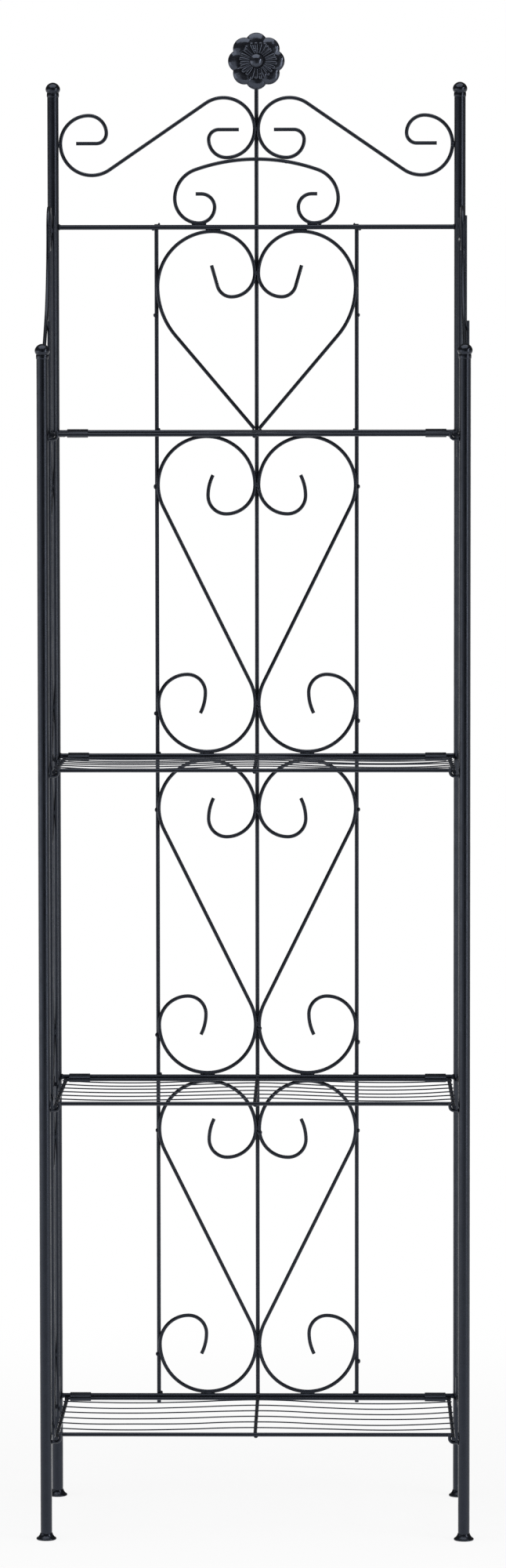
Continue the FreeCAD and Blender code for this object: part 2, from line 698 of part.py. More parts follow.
for name, side in SIDES:
    frame = f"side_{name}"
    x = f"{side} * {POST_X}"
    rod_x = f"{x} + {SIDE_ROD_X}"
    hinge_rod = keep(cylinder(f"{frame}_hinge_rod", "Sizes.hinge_rod_diameter",
                              f"{SIDE_ROD_TOP} - ({TAIL_HEIGHT})", x, HINGE_Y, TAIL_HEIGHT),
                     f"{frame}_hinge_rod")
    rear_rod = cylinder(f"{frame}_rear_rod", "Sizes.side_rod_diameter",
                        f"{SIDE_ROD_TOP} - ({TAIL_HEIGHT})",
                        rod_x, REAR_ROD_Y, TAIL_HEIGHT)
    front_rod = cylinder(f"{frame}_front_rod", "Sizes.side_rod_diameter",
                         f"{height_at_front_rod} + Sizes.rod_above_sweep - ({TAIL_HEIGHT})",
                         rod_x, f"{-front_rod_forward}", TAIL_HEIGHT)
    keep(group(f"{frame}_rods", [rear_rod, front_rod]), f"{frame}_rods")

    ends = [hinge_rod, cores[f"{frame}_post"]]
    ties = []
    for number in range(1, SHELF_COUNT + 1):
        tie = cylinder(f"{frame}_tie_{number}_rod", "Sizes.tie_diameter",
                       f"{HINGE_Y} - ({FRONT_Y})", x, FRONT_Y, shelf_height(number), "y")
        ties.append(coped(f"{frame}_tie_{number}", tie, ends))
    short_tie = cylinder(f"{frame}_top_tie_rod", "Sizes.tie_diameter",
                         "Sizes.rear_rod_gap", x, REAR_ROD_Y, TOP_TIE, "y")
    ties.append(coped(f"{frame}_top_tie", short_tie, [hinge_rod]))
    keep(group(f"{frame}_ties", ties), f"{frame}_ties")

    scroll_x = f"{x} + {SIDE_SCROLL_X}"
    scrolls = [bent_rod(f"{frame}_scroll_{number}", *side_scroll, scroll_x, "0",
                        shelf_height(number), SIDE_PLANE) for number in range(1, SHELF_COUNT)]
    keep(group(f"{frame}_scrolls", scrolls), f"{frame}_scrolls")
    long_sweep = bent_rod(f"{frame}_sweep_rod", *sweep, scroll_x, "0", "0", SIDE_PLANE)
    keep(coped(f"{frame}_sweep", long_sweep, [cores[f"{frame}_post"]]), f"{frame}_sweep")

    hook = scroll_jig(f"{frame}_hook", hook_line(side), "Sizes.hook_diameter")
    hooks = []
    for number in range(1, SHELF_COUNT + 1):
        wire = bent_rod(f"{frame}_hook_{number}_rod", *hook, "0", FRONT_Y,
                        f"{shelf_height(number)} - Sizes.side_bar_drop", BACK_PLANE)
        hooks.append(coped(f"{frame}_hook_{number}", wire, [cores[f"{frame}_post"]]))
    keep(group(f"{frame}_hooks", hooks), f"{frame}_hooks")


# Shelves -----------------------------------------------------------------------------------------

HINGE_BAR_Y = f"{BACK_Y} - Sizes.hinge_bar_forward"
FRONT_BAR_Y = f"({FRONT_Y} + Sizes.front_bar_setback)"
SIDE_BAR_X = f"({POST_X} - Sizes.side_bar_gap)"
BAR_LENGTH = f"2 * ({SIDE_BAR_X} + Sizes.bar_end_overhang)"
WIRE_PITCH = f"(({HINGE_BAR_Y} - Sizes.front_wire_gap - {FRONT_BAR_Y}) / {WIRE_COUNT})"
WIRE_RISE = "(Sizes.shelf_bar_diameter + Sizes.wire_diameter) / 2"
hinge_bar_gap = hypot(size["hinge_bar_forward"], size["hinge_bar_drop"])
hinge_bar_slope = degrees(atan2(-size["hinge_bar_drop"], -size["hinge_bar_forward"]))
hinge_bar_y = front_reach - size["hinge_bar_forward"]
front_bar_y = size["front_bar_setback"] - front_reach
side_bar_x = post_x - size["side_bar_gap"]
wire_pitch = (hinge_bar_y - size["front_wire_gap"] - front_bar_y) / WIRE_COUNT
centre_bar_slope = (size["centre_bar_rise"] - size["front_bar_rise"]) / (hinge_bar_y - front_bar_y)


def shelf_bars(label, level):
    """Back, front, side and centre bars of a shelf, coped to one another."""
    back = cylinder(label + "_back", "Sizes.hinge_bar_diameter", BAR_LENGTH,
                    f"-{SIDE_BAR_X} - Sizes.bar_end_overhang", HINGE_BAR_Y,
                    f"{level} - Sizes.hinge_bar_drop", "x")
    z = f"{level} - Sizes.side_bar_drop"
    front_y = f"{FRONT_Y} - Sizes.side_bar_overhang"
    sides = []
    for name, side in SIDES:
        bar = cylinder(f"{label}_{name}_bar", "Sizes.shelf_bar_diameter",
                       f"{HINGE_BAR_Y} - ({front_y})", f"{side} * {SIDE_BAR_X}", front_y, z, "y")
        sides.append(coped(f"{label}_{name}", bar, [back]))
    front_z = f"{z} + Sizes.front_bar_rise"
    front_bar = cylinder(label + "_front_bar", "Sizes.shelf_bar_diameter", f"2 * {SIDE_BAR_X}",
                         f"-{SIDE_BAR_X}", FRONT_BAR_Y, front_z, "x")
    front = coped(label + "_front", front_bar, sides)
    # the centre bar climbs from the front bar's axis to the top of the back bar
    centre_bar = doc.addObject("Part::Cylinder", label + "_centre_bar")
    bind(centre_bar, {
        "Radius": "Sizes.centre_bar_diameter / 2",
        "Height": f"{HINGE_BAR_Y} - Sizes.centre_bar_setback - {FRONT_BAR_Y}",
    })
    climb = FreeCAD.Rotation(FreeCAD.Vector(0, 0, 1), FreeCAD.Vector(0, 1, centre_bar_slope))
    put(centre_bar, "0", FRONT_BAR_Y, front_z, climb)
    centre = coped(label + "_centre", centre_bar, [back, front_bar])
    keep(group(label, [back, front, centre] + sides), label)


def wire_line(rise):
    """A wire from side bar to side bar, bent over the centre bar that lifts its middle."""
    crown = size["wire_crown"]
    span = hypot(side_bar_x, crown - rise)
    turn = 90 - degrees(atan2(crown - rise, side_bar_x)) - degrees(acos(crown / span))
    halves = []
    for heading, side in ((180, 1), (0, -1)):
        half = Centreline(0, rise, heading)
        half.bend(crown, side * turn, "wire_crown")
        halves.append(half.straight(sqrt(span**2 - crown**2) + size["bar_end_overhang"]))
    return through(*halves)


wire_jigs = []
for number in range(1, WIRE_COUNT + 1):
    wire_y = hinge_bar_y - wire_pitch * (WIRE_COUNT + 1 - number)
    lift = (size["front_bar_rise"] + centre_bar_slope * (wire_y - front_bar_y)
            - (size["shelf_bar_diameter"] - size["centre_bar_diameter"]) / 2)
    wire_jigs.append(scroll_jig(f"wire_{number}", wire_line(lift), "Sizes.wire_diameter"))


def shelf_wires(label, level):
    """Thin wires across the shelf, evenly spaced forwards from the back bar."""
    z = f"{level} - Sizes.side_bar_drop + {WIRE_RISE}"
    wires = []
    for number, jig in enumerate(wire_jigs, start=1):
        y = f"{HINGE_BAR_Y} - {WIRE_COUNT + 1 - number} * {WIRE_PITCH}"
        wires.append(bent_rod(f"{label}_{number}", *jig, "0", y, z, BACK_PLANE))
    keep(group(label, wires), label)


def strap_ring(name, radius, width):
    """An oblong in the plane of the rail's section that goes round the rail and the hinge bar."""
    body = doc.addObject("PartDesign::Body", name)
    ring = body.newObject("Sketcher::SketchObject", name + "_outline")
    floor = [plane for plane in body.Origin.OriginFeatures if plane.Role == "XY_Plane"][0]
    ring.AttachmentSupport = (floor, [""])
    ring.MapMode = "FlatFace"
    for reach in radius:
        line = Centreline(0, -reach, 0)
        line.straight(strap_run)
        line.bend(reach, 180)
        line.straight(strap_run)
        line.bend(reach, 180)
        first = ring.GeometryCount
        for curve, _, _, _ in line.runs:
            ring.addGeometry(curve, False)
        for step in range(4):
            ring.addConstraint(Sketcher.Constraint(
                "Coincident", first + step, 2, first + (step + 1) % 4, 1))
    pad = body.newObject("PartDesign::Pad", name + "_pad")
    pad.Profile = ring
    pad.setExpression("Length", width)
    return body


strap_bore = rail_radius + size["strap_clearance"]
strap_radii = (strap_bore + size["strap_thickness"], strap_bore)
# the thinner hinge bar lies deeper in the bend of the same radius
strap_run = hinge_bar_gap - (size["rail_diameter"] - size["hinge_bar_diameter"]) / 2
# the oblong's drawing is laid across the rail, then turned down to the hinge bar
STRAP_TURN = (FreeCAD.Rotation(FreeCAD.Vector(1, 0, 0), hinge_bar_slope)
              * FreeCAD.Rotation(FreeCAD.Vector(1, 1, 1), 120))


def shelf_straps(label, level):
    """Two bands that hold the shelf's back bar to the rail that it turns on."""
    straps = []
    for name, side in SIDES:
        strap = strap_ring(f"{label}_{name}", strap_radii, "Sizes.strap_width")
        x = f"{side} * ({SIDE_BAR_X} - Sizes.strap_inset) - Sizes.strap_width / 2"
        put(strap, x, BACK_Y, level, STRAP_TURN)
        straps.append(strap)
    keep(group(label, straps), label)


for number in range(1, SHELF_COUNT + 1):
    level = shelf_height(number)
    shelf_bars(f"shelf_{number}_frame", level)
    shelf_wires(f"shelf_{number}_wires", level)
    shelf_straps(f"shelf_{number}_straps", level)


# Finish: recompute, check every object, and write each piece ---------------------------------------

doc.recompute()
faults = [item.Name for item in doc.Objects if "Invalid" in item.State or "Error" in item.State]
for item in nodes:
    shape = item.Shape
    if shape.isNull() or not shape.isValid() or not shape.Solids:
        faults.append(item.Label)
if faults:
    sys.exit("failed: " + ", ".join(faults))

os.makedirs("parts", exist_ok=True)
for item in nodes:
    item.Shape.exportStep(f"parts/{item.Label}.step")
    print(f"{item.Label:24s} solids {len(item.Shape.Solids):2d}  volume {item.Shape.Volume:10.1f}")
print(len(nodes), "pieces")
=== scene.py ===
import random
from math import pi, radians

import bpy
from mathutils import Matrix, Vector


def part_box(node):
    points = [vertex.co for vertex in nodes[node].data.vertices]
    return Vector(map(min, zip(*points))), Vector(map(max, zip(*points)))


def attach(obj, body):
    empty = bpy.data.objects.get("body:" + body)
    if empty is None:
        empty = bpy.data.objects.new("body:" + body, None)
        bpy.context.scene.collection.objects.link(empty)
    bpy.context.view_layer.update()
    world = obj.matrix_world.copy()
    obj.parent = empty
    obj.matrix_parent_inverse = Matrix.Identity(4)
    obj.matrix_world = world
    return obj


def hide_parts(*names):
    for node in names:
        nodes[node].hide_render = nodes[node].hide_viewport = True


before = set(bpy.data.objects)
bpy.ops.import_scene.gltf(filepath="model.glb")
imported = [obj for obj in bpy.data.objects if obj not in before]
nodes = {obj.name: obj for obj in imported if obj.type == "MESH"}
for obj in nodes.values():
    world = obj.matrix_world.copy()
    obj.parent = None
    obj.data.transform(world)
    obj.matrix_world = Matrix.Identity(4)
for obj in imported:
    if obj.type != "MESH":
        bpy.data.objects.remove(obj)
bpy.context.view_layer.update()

bpy.ops.object.select_all(action="DESELECT")


def middle(name):
    """The middle of a built piece's box."""
    low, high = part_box(name)
    return (low + high) / 2


def spread(tree, value, span, reach, smooth=False):
    """A shader value whose span is mapped to a reach and held at both ends."""
    shift = tree.nodes.new("ShaderNodeMapRange")
    shift.interpolation_type = "SMOOTHSTEP" if smooth else "LINEAR"
    shift.inputs["From Min"].default_value = span[0]
    shift.inputs["From Max"].default_value = span[1]
    shift.inputs["To Min"].default_value = reach[0]
    shift.inputs["To Max"].default_value = reach[1]
    tree.links.new(value, shift.inputs["Value"])
    return shift.outputs["Result"]


# ---- Posts ---------------------------------------------------------------------------------------
# Four round steel tubes, 14 mm across, that carry everything else. They are sprayed with a
# near-black powder, baked on in one coat: satin, faintly blue, with a fine orange-peel skin.

TUBE_SHADE = (0.0038, 0.0042, 0.0056)
DUST_SHADE = (0.060, 0.063, 0.072)


def powder_coat(name, shade, rough, skin, skin_depth, dents=0.0):
    """Powder coat: its colour drifts a little, and its skin is finely dimpled and dusted."""
    coat = bpy.data.materials.new(name)
    coat.use_nodes = True
    tree = coat.node_tree
    shader = tree.nodes["Principled BSDF"]
    shader.inputs["Metallic"].default_value = 0.0
    shader.inputs["IOR"].default_value = 1.5
    shader.inputs["Specular Tint"].default_value = (0.66, 0.76, 1.0, 1)
    shader.inputs["Coat Weight"].default_value = 0.10
    shader.inputs["Coat Roughness"].default_value = 0.14
    place = tree.nodes.new("ShaderNodeTexCoord")

    def noise(scale, detail):
        cloud = tree.nodes.new("ShaderNodeTexNoise")
        cloud.inputs["Scale"].default_value = scale
        cloud.inputs["Detail"].default_value = detail
        tree.links.new(place.outputs["Object"], cloud.inputs["Vector"])
        return cloud.outputs["Fac"]

    # the powder lies a little thicker in some places, and lint and dust settle on it
    drift = tree.nodes.new("ShaderNodeValToRGB")
    drift.color_ramp.elements[0].position = 0.30
    drift.color_ramp.elements[0].color = (*[0.78 * part for part in shade], 1)
    drift.color_ramp.elements[1].position = 0.72
    drift.color_ramp.elements[1].color = (*[1.30 * part for part in shade], 1)
    tree.links.new(noise(22.0, 4.0), drift.inputs["Fac"])
    dust = spread(tree, noise(1900.0, 1.0), (0.68, 0.82), (0.0, 0.30))
    dusted = tree.nodes.new("ShaderNodeMix")
    dusted.data_type = "RGBA"
    dusted.inputs["B"].default_value = (*DUST_SHADE, 1)
    tree.links.new(dust, dusted.inputs["Factor"])
    tree.links.new(drift.outputs["Color"], dusted.inputs["A"])
    tree.links.new(dusted.outputs["Result"], shader.inputs["Base Color"])

    # satin that is rubbed a little brighter here and there
    rubbed = spread(tree, noise(70.0, 5.0), (0.35, 0.70), (rough - 0.07, rough + 0.07))
    tree.links.new(rubbed, shader.inputs["Roughness"])

    # orange peel, over the dents that thin pressed steel has
    peel = tree.nodes.new("ShaderNodeBump")
    peel.inputs["Strength"].default_value = 0.45
    peel.inputs["Distance"].default_value = skin_depth
    tree.links.new(noise(skin, 2.0), peel.inputs["Height"])
    tree.links.new(peel.outputs["Normal"], shader.inputs["Normal"])
    if dents:
        dented = tree.nodes.new("ShaderNodeBump")
        dented.inputs["Strength"].default_value = 0.8
        dented.inputs["Distance"].default_value = dents
        tree.links.new(noise(130.0, 1.0), dented.inputs["Height"])
        tree.links.new(dented.outputs["Normal"], peel.inputs["Normal"])
    return coat


tube_coat = powder_coat("tube powder coat", TUBE_SHADE, 0.30, 620.0, 0.00012)


def coat_nodes(coat, *names):
    """Give built pieces their finish."""
    for name in names:
        for skin in nodes[name].material_slots:
            skin.material = coat


coat_nodes(tube_coat, "back_post_left", "back_post_right", "side_left_post", "side_right_post")

post_low, post_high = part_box("back_post_right")
POST_X = middle("back_post_right").x
POST_Y = middle("back_post_right").y
POST_RADIUS = (post_high.x - post_low.x) / 2
BACK_POST_TOP = post_high.z
FRONT_POST_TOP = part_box("side_right_post")[1].z
POSTS = {  # place, height of the tube's end, body, and the form of its nodes' names
    "back_left": (-POST_X, POST_Y, BACK_POST_TOP, "back_panel", "back_%s_left"),
    "back_right": (POST_X, POST_Y, BACK_POST_TOP, "back_panel", "back_%s_right"),
    "front_left": (-POST_X, -POST_Y, FRONT_POST_TOP, "side_frame_left", "side_left_%s"),
    "front_right": (POST_X, -POST_Y, FRONT_POST_TOP, "side_frame_right", "side_right_%s"),
}


# ---- Feet ----------------------------------------------------------------------------------------
# Flared steel feet, turned with a rolled rim, that are pushed into the tubes from below. The
# coat is the posts' own. The rim's underside is slightly hollow, so each foot stands on a ring.

FOOT_OUTLINE = [  # radius and height in mm, from the hollow underneath to the tube
    (0.0, 0.9), (7.0, 0.8), (9.6, 0.5), (10.6, 0.1), (11.3, 0.0), (11.9, 0.15), (12.25, 0.7),
    (12.25, 1.6), (11.9, 2.25), (11.2, 2.6), (10.2, 3.3), (9.0, 4.6), (8.2, 6.1), (7.75, 7.3),
    (7.55, 7.9), (7.3, 8.3), (6.9, 8.4), (6.3, 8.4), (0.0, 8.4),
]


def turned(name, outline, steps):
    """Draw half an outline point by point, as radius and height in mm, and spin it upright."""
    points = [Vector((radius, 0, height)) / 1000 for radius, height in outline]
    bpy.ops.mesh.primitive_plane_add(size=0.001, location=(0, 0, 0))
    piece = bpy.context.object
    piece.name = name
    bpy.ops.object.mode_set(mode="EDIT")
    bpy.ops.mesh.select_mode(type="VERT")
    bpy.ops.mesh.merge(type="CENTER")
    bpy.ops.transform.translate(value=points[0])
    for here, there in zip(points, points[1:]):
        bpy.ops.mesh.extrude_vertices_move(TRANSFORM_OT_translate={"value": there - here})
    bpy.ops.mesh.select_all(action="SELECT")
    bpy.ops.mesh.spin(steps=steps, angle=2 * pi, center=(0, 0, 0), axis=(0, 0, 1))
    bpy.ops.mesh.select_all(action="SELECT")
    bpy.ops.mesh.remove_doubles(threshold=0.000002)
    bpy.ops.mesh.select_all(action="SELECT")
    bpy.ops.mesh.normals_make_consistent(inside=False)
    bpy.ops.object.mode_set(mode="OBJECT")
    bpy.ops.object.shade_smooth_by_angle(angle=radians(38))
    return piece


def smoothed(piece, levels):
    """Round a piece off with a subdivision surface."""
    bpy.context.view_layer.objects.active = piece
    rounding = piece.modifiers.new("rounding", "SUBSURF")
    rounding.levels = rounding.render_levels = levels
    bpy.ops.object.modifier_apply(modifier="rounding")


def twin(piece, name, move):
    """A copy with its own mesh, moved to its place."""
    copied = piece.copy()
    copied.data = piece.data.copy()
    copied.name = name
    copied.data.transform(move)
    bpy.context.scene.collection.objects.link(copied)
    return copied


def join_up(pieces, name):
    """Join pieces into the first of them, under a new name."""
    bpy.ops.object.select_all(action="DESELECT")
    for each in pieces:
        each.select_set(True)
    bpy.context.view_layer.objects.active = pieces[0]
    bpy.ops.object.join()
    pieces[0].name = name
    return pieces[0]


def fit(piece, coat, body, slot, *replaced):
    """Coat a finished piece, hang it on its body and let it stand for what it replaces."""
    piece.data.materials.clear()
    piece.data.materials.append(coat)
    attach(piece, body)
    if replaced:
        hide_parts(*replaced)
    piece.select_set(False)


foot = turned("foot", FOOT_OUTLINE, 40)
smoothed(foot, 1)
for corner, (x, y, top, body, node) in POSTS.items():
    piece = twin(foot, f"foot_{corner}", Matrix.Translation((x, y, 0)))
    fit(piece, tube_coat, body, "tube_coat", node % "foot")
bpy.data.objects.remove(foot)


# ---- Finials -------------------------------------------------------------------------------------
# A pressed ball tops each post, on a plain rounded collar that sits on the tube's end. The coat
# pools in the narrow groove between the two and is glossier on the ball.

FINIAL_OUTLINE = [  # radius and height in mm above the tube's end
    (0.0, -0.6), (5.8, -0.6), (6.7, -0.4), (7.25, 0.0), (7.55, 0.5), (7.65, 1.1), (7.65, 3.8),
    (7.55, 4.6), (7.35, 5.1), (7.3, 5.4), (7.5, 5.75), (8.05, 6.4), (8.65, 7.4), (9.0, 8.5),
    (9.1, 9.6), (9.0, 11.0), (8.5, 12.7), (7.7, 14.2), (6.5, 15.6), (5.1, 16.75), (3.55, 17.6),
    (1.8, 18.15), (0.0, 18.3),
]
cap_coat = powder_coat("cap powder coat", TUBE_SHADE, 0.22, 480.0, 0.00008)

finial = turned("finial", FINIAL_OUTLINE, 40)
smoothed(finial, 1)
for corner, (x, y, top, body, node) in POSTS.items():
    piece = twin(finial, f"finial_{corner}", Matrix.Translation((x, y, top)))
    fit(piece, cap_coat, body, "tube_coat", node % "finial")
bpy.data.objects.remove(finial)


# ---- Back panel: rails, upright rods and scrolls -------------------------------------------------
# Drawn steel rod, 4.5 to 6 mm thick. The rails run between the back posts, three upright rods
# stand behind them, and the scrolls are bent cold on a jig and lie against both.

ROD_SHADE = (0.0044, 0.0048, 0.0062)
rod_coat = powder_coat("rod powder coat", ROD_SHADE, 0.33, 900.0, 0.00010)
panel_rods = [name for name in nodes if "rail" in name or "scroll" in name or "rod" in name]
coat_nodes(rod_coat, *[name for name in panel_rods if not name.startswith("side_")])

RAILS = [middle(f"shelf_rail_{number}").z for number in (1, 2, 3, 4)]
TOP_RAIL = middle("top_rail").z
RAIL_RADIUS = TOP_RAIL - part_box("top_rail")[0].z


# ---- Back panel: welds ---------------------------------------------------------------------------
# Every touch of two rods is a small electric weld, a flattened drop of steel under the coat. The
# drops are never quite alike: some are wide and low, some stand up on one side.

weld_coat = powder_coat("weld powder coat", ROD_SHADE, 0.38, 1500.0, 0.00025)
bpy.ops.mesh.primitive_ico_sphere_add(subdivisions=3, radius=1.0, location=(0, 0, 0))
drop = bpy.context.object
drop.name = "drop"
bpy.ops.object.mode_set(mode="EDIT")
bpy.ops.mesh.select_all(action="SELECT")
bpy.ops.transform.vertex_random(offset=0.10, uniform=0.3, normal=0.6, seed=7)
bpy.ops.mesh.vertices_smooth(factor=0.5, repeat=1)
bpy.ops.object.mode_set(mode="OBJECT")
bpy.ops.object.shade_smooth()


def weld_group(name, body, spots):
    """Set drops at their places, each turned and sized a little differently, as one piece."""
    chance = random.Random(name)
    drops = []
    for place, (wide, deep, tall) in spots:
        turn = Matrix.Rotation(chance.uniform(0, 2 * pi), 4, (
            chance.uniform(-1, 1), chance.uniform(-1, 1), chance.uniform(-1, 1)))
        grow = chance.uniform(0.88, 1.12)
        size = Matrix.Diagonal((wide * grow / 1000, deep * grow / 1000, tall * grow / 1000, 1))
        nudge = Vector([chance.uniform(-0.35, 0.35) / 1000 for _ in range(3)])
        move = Matrix.Translation(Vector(place) + nudge) @ size @ turn
        drops.append(twin(drop, f"{name}_{len(drops)}", move))
    fit(join_up(drops, name), weld_coat, body, "rod_coat")


def long_weld(x, z, toward):
    """Four drops in a row, where a wide curve of scroll runs along a rail."""
    row = (  # how far aside, how far up from the rail, and size
        (0, 0.0010, (6.4, 1.6, 2.1)),
        (-0.0064, 0.0012, (2.7, 1.5, 2.2)),
        (0.0006, 0.0016, (2.3, 1.5, 2.5)),
        (0.0068, 0.0012, (2.6, 1.5, 2.0)),
    )
    return [((x + aside, STANDING_Y, z + toward * (RAIL_RADIUS + rise)), size)
            for aside, rise, size in row]


# drops by kind, as half widths in mm across, from front to back, and upwards
END_DROP = (1.5, 3.5, 3.5)
CROSSING_DROP = (3.0, 1.7, 3.1)
SPATTER_BELOW = (1.9, 1.6, 1.4)
SPATTER_ABOVE = (1.4, 1.4, 2.2)
PAIR_DROP = (3.1, 2.6, 3.4)
PAIR_NUB = (3.0, 1.8, 3.4)
TOUCH_DROP = (1.6, 2.2, 3.8)
TOUCH_NUB = (1.9, 1.8, 2.8)
HEART_TOUCH_DROP = (1.6, 2.2, 4.0)
HEART_TOUCH_NUB = (1.9, 1.8, 2.7)
HEART_FOOT_DROP = (2.0, 1.3, 1.2)
ARCH_TOP_DROP = (3.0, 1.9, 2.6)
CREST_END_DROP = (2.3, 2.0, 3.6)
CREST_LOBE_DROP = (4.2, 2.1, 1.8)

STANDING_Y = 0.1405  # scrolls stand on the rails
CROSSING_Y = 0.1427  # upright rods cross behind the rails
PAIR_Y = 0.1420  # two scrolls meet on the centre rod
PAIR_NUB_Y = 0.1394
TOUCH_Y = 0.1432  # a scroll touches an inner rod
TOUCH_NUB_Y = 0.1434
HEART_FOOT_Y = 0.1412
ARCH_TOP_Y = 0.1425
CREST_LOBE_Y = 0.1406
INNER_ROD_X = middle("inner_rod_right").x
TOUCH_X = INNER_ROD_X - 0.0007
TOUCH_NUB_X = INNER_ROD_X + 0.0023
LOBE_X = middle("s_scroll_1_right").x
LOBE_RISE = 0.06553  # middle of a scroll's lobe over the rail that it stands on
HEART_X = 0.05425
HEART_TOUCH_Z = 1.5161
HEART_NUB_Z = 1.4810
HEART_PAIR_Z = 1.5329
HEART_FOOT_X = 0.0042
ARCH_X = 0.0715
ARCH_TOP_Z = 1.6740
CREST_PAIR_Z = 1.7110
CREST_END_X = 0.2446
CREST_END_Z = 1.6915
CREST_LOBE_X = 0.0385
CREST_LOBE_Z = 1.6700
POST_FACE = POST_X - POST_RADIUS

panel_spots = []
for z in RAILS + [TOP_RAIL]:
    for side in (-1, 1):
        panel_spots += [
            ((side * (POST_FACE - 0.0004), POST_Y, z), END_DROP),
            ((side * INNER_ROD_X, CROSSING_Y, z - 0.0004), CROSSING_DROP),
            ((side * (INNER_ROD_X + 0.0039), CROSSING_Y - 0.0015, z - 0.0027), SPATTER_BELOW),
            ((side * (INNER_ROD_X - 0.0033), CROSSING_Y - 0.0005, z + 0.0032), SPATTER_ABOVE),
        ]
    panel_spots.append(((0, CROSSING_Y, z), CROSSING_DROP))
for low, high in zip(RAILS, RAILS[1:]):
    for rail, toward in ((low, 1), (high, -1)):
        z = rail + toward * LOBE_RISE
        panel_spots += [
            ((0.0002, PAIR_Y, z), PAIR_DROP),
            ((0.0022, PAIR_NUB_Y, z - 0.0046), PAIR_NUB),
        ]
        for side in (-1, 1):
            # the outer nub sits lower at a lower lobe, and lowest on the right
            lower = 0.0022 if toward < 0 else 0.0175 + side * 0.0045
            panel_spots += long_weld(side * LOBE_X, rail, toward)
            panel_spots += [
                ((side * TOUCH_X, TOUCH_Y, z), TOUCH_DROP),
                ((side * TOUCH_NUB_X, TOUCH_NUB_Y, z - lower), TOUCH_NUB),
            ]
for side in (-1, 1):
    panel_spots += long_weld(side * HEART_X, TOP_RAIL, -1)
    panel_spots += [
        ((side * TOUCH_X, TOUCH_Y, HEART_TOUCH_Z), HEART_TOUCH_DROP),
        ((side * (INNER_ROD_X + 0.0021), TOUCH_NUB_Y, HEART_NUB_Z), HEART_TOUCH_NUB),
        ((side * HEART_FOOT_X, HEART_FOOT_Y, RAILS[3] + RAIL_RADIUS + 0.0001), HEART_FOOT_DROP),
    ]
    panel_spots += long_weld(side * ARCH_X, TOP_RAIL, 1)
    panel_spots += [
        ((side * CREST_END_X, POST_Y, CREST_END_Z), CREST_END_DROP),
        ((side * CREST_LOBE_X, CREST_LOBE_Y, CREST_LOBE_Z), CREST_LOBE_DROP),
    ]
# on the centre rod: the heart's lobes, the arch's top and the crest's lobes
panel_spots += [
    ((0, PAIR_Y, HEART_PAIR_Z), PAIR_DROP),
    ((0, ARCH_TOP_Y, ARCH_TOP_Z), ARCH_TOP_DROP),
    ((0, PAIR_Y, CREST_PAIR_Z), PAIR_DROP),
]
weld_group("panel_welds", "back_panel", panel_spots)


# ---- Rosette -------------------------------------------------------------------------------------
# Three pressed pieces of thin steel riveted to the top of the centre rod: eight round petals, a
# pleated disc in front of them and a domed button. The coat is thin, so the pressing stays sharp.

# The rosette has the rods' near-black coat; its shade, about two and a half times the rods', is
# partly painted sheen that stands in for the light its pressed faces reflect.
ROSETTE_SHADE_AND_PAINTED_SHEEN = (0.0110, 0.0118, 0.0150)
rosette_coat = powder_coat("rosette powder coat and painted sheen", ROSETTE_SHADE_AND_PAINTED_SHEEN, 0.17, 520.0, 0.00012, 0.00090)
rosette_coat.node_tree.nodes["Principled BSDF"].inputs["Specular IOR Level"].default_value = 0.85
petal_low, petal_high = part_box("rosette_petals")
ROSETTE = Vector((0, petal_high.y, (petal_low.z + petal_high.z) / 2))
PETAL_REACH = 0.0355
PETAL_RADIUS = 0.0145
PETAL_DOME = 0.0050
PETAL_CUT = PETAL_DOME / 4  # a petal is what a flattened ball has above this height
PETAL_COUNT = 8
PETAL_RING = PETAL_REACH - PETAL_RADIUS
TO_FRONT = Matrix.Rotation(pi / 2, 4, "X")


def keep_front(piece, depth):
    """Cut a piece off square behind its front part, and close the cut."""
    bpy.ops.object.select_all(action="DESELECT")
    piece.select_set(True)
    bpy.context.view_layer.objects.active = piece
    bpy.ops.object.mode_set(mode="EDIT")
    bpy.ops.mesh.select_all(action="SELECT")
    bpy.ops.mesh.bisect(plane_co=(0, 0, depth), plane_no=(0, 0, 1), use_fill=True,
                        clear_inner=True)
    bpy.ops.object.mode_set(mode="OBJECT")


def ring_of(piece, name, count, start, lay):
    """Copies of a piece, each laid its own way, set round the rosette's middle as one piece."""
    copies = []
    for number in range(count):
        turn = Matrix.Rotation(start + 2 * pi * number / count, 4, "Z")
        copies.append(twin(piece, f"{name}_{number}", turn @ lay(number)))
    bpy.data.objects.remove(piece)
    return join_up(copies, name)


# one petal: a shallow dome, cut off square at the back and pressed flatter towards the middle
bpy.ops.mesh.primitive_uv_sphere_add(segments=40, ring_count=20, radius=1.0, location=(0, 0, 0))
petal = bpy.context.object
bpy.ops.transform.resize(value=(PETAL_RADIUS, PETAL_RADIUS, PETAL_DOME + PETAL_CUT))
bpy.ops.object.transform_apply(location=True, rotation=True, scale=True)
keep_front(petal, PETAL_CUT)
bpy.ops.object.mode_set(mode="EDIT")
bpy.ops.mesh.select_all(action="DESELECT")
bpy.ops.mesh.select_mode(type="VERT")
bpy.ops.object.mode_set(mode="OBJECT")
for point in petal.data.vertices:
    point.select = point.co.x < -0.002 and point.co.z > PETAL_DOME * 0.5
bpy.ops.object.mode_set(mode="EDIT")
bpy.ops.transform.translate(value=(0, 0, -0.0007), use_proportional_edit=True,
                            proportional_edit_falloff="SMOOTH", proportional_size=0.005)
bpy.ops.object.mode_set(mode="OBJECT")
petal.data.transform(Matrix.Translation((PETAL_RING, 0, -PETAL_CUT)))
bpy.ops.object.shade_smooth_by_angle(angle=radians(40))


